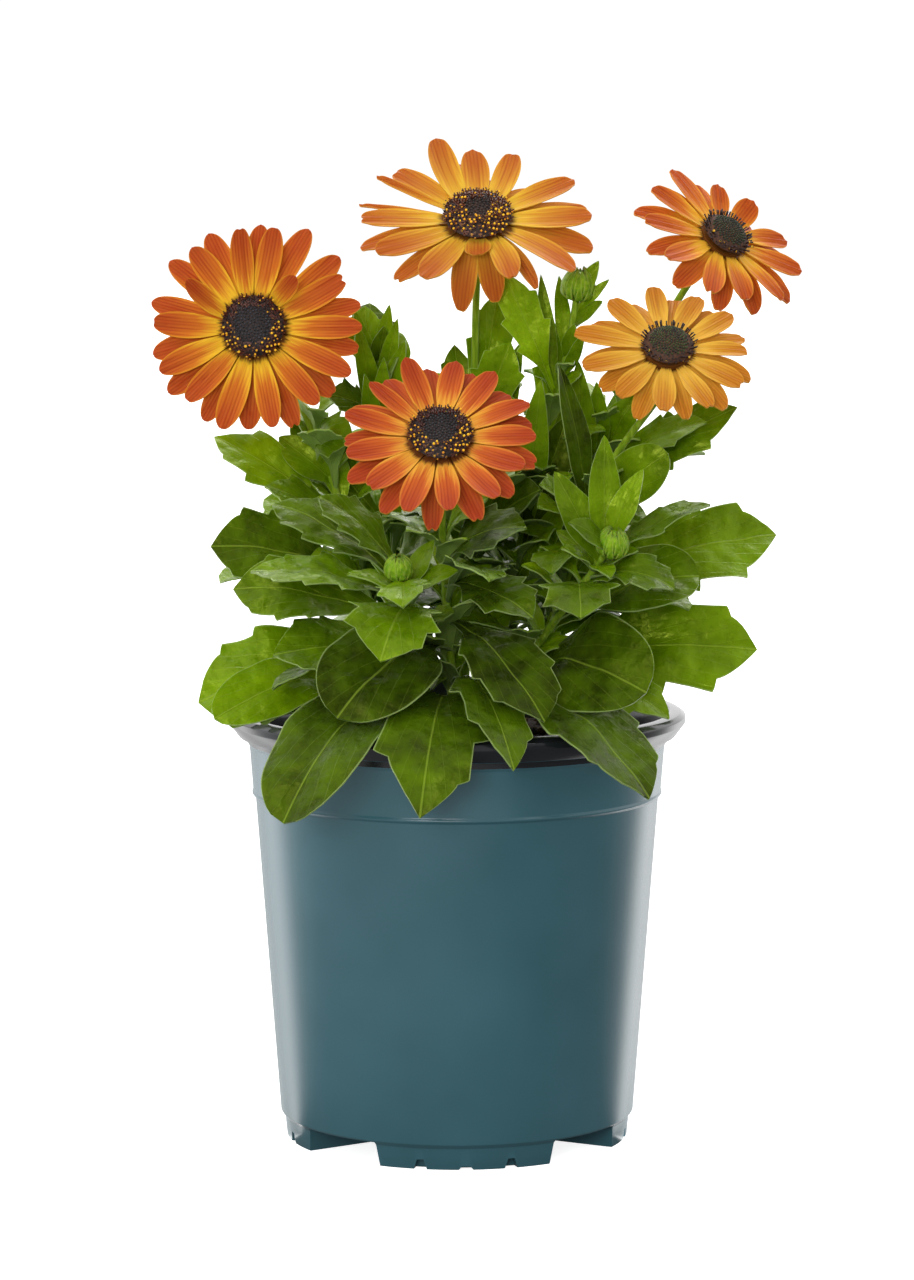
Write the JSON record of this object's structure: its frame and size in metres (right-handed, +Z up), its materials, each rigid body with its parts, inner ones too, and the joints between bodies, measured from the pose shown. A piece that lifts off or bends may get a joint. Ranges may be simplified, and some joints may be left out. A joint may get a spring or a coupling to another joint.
{
  "type": "potted osteospermum",
  "caption": "Potted osteospermum: orange daisy blooms with dark discs over toothed green leaves, in a tapered nursery pot with a turned-down black rim and shallow feet.",
  "frame": {"origin": "centre of the pot's flat base, on the surface the pot stands on", "axes": "+Z up; -Y towards the front, where the low leaves hang over the rim and most blooms look; +X to the right seen from the front"},
  "size_m": [0.2411, 0.1912, 0.3728],
  "materials": {
    "pot_plastic": "satin blue-green polypropylene with a fine leathery grain",
    "rim_plastic": "charcoal polypropylene, satin",
    "potting_mix": "rough moist bark and peat crumbs",
    "leaf": "living leaf: waxy mid-green upper side, paler underside, pale margins",
    "ray": "orange petals, yellow at the base, with fine darker veins",
    "disc": "dark brown florets with golden pollen"
  },
  "bodies": {
    "root": {"pot": "pot_plastic", "potting_mix": "potting_mix", "leafy_stem_front_left": "leaf", "leafy_stem_front": "leaf", "leafy_stem_left": "leaf", "leafy_stem_back_left": "leaf", "leafy_stem_centre": "leaf", "leafy_stem_upper_right": "leaf", "leafy_stem_front_right": "leaf", "leafy_stem_right": "leaf", "leafy_stem_far_right": "leaf", "bloom_left_rays": "ray", "bloom_top_rays": "ray", "bloom_front_rays": "ray", "bloom_right_rays": "ray", "bloom_far_right_rays": "ray", "bloom_left_disc": "disc", "bloom_top_disc": "disc", "bloom_front_disc": "disc", "bloom_right_disc": "disc", "bloom_far_right_disc": "disc"}
  },
  "joints": []
}
